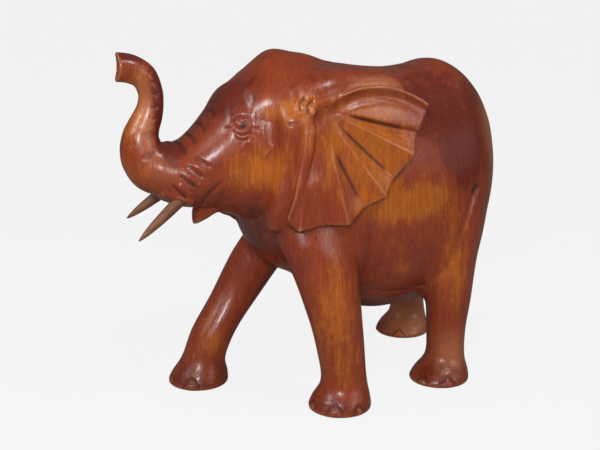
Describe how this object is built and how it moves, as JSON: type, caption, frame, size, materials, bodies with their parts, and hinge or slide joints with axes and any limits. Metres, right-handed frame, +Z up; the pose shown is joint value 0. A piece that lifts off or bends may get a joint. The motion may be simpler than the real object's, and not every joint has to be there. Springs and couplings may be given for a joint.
{
  "type": "carved elephant figure",
  "caption": "Carved wooden elephant striding on flat soles, head turned, trunk raised in an S, pleated fan ears, push-in wooden tusks and inset bead eyes; a free-standing ornament.",
  "frame": {"origin": "centre of the footprint of the bounding box, on the plane of the soles", "axes": "+Z up, the elephant faces -X, its left side is at -Y"},
  "size_m": [0.3108, 0.154, 0.2653],
  "materials": {
    "varnished_wood": "red-brown stain under glossy varnish",
    "bare_wood": "bare, matte",
    "bead": "polished, opaque dark"
  },
  "bodies": {
    "carving": {"carved_body": "varnished_wood", "left_eye": "bead", "right_eye": "bead"},
    "left_tusk": {"left_tusk": "bare_wood"},
    "right_tusk": {"right_tusk": "bare_wood"}
  },
  "joints": [
    {"name": "left_tusk_pull", "type": "slide", "parent": "carving", "child": "left_tusk", "axis": [-0.7729, 0.0812, -0.6293], "range_m": [0, 0.025]},
    {"name": "right_tusk_pull", "type": "slide", "parent": "carving", "child": "right_tusk", "axis": [-0.7483, 0.3332, -0.5736], "range_m": [0, 0.025]}
  ]
}
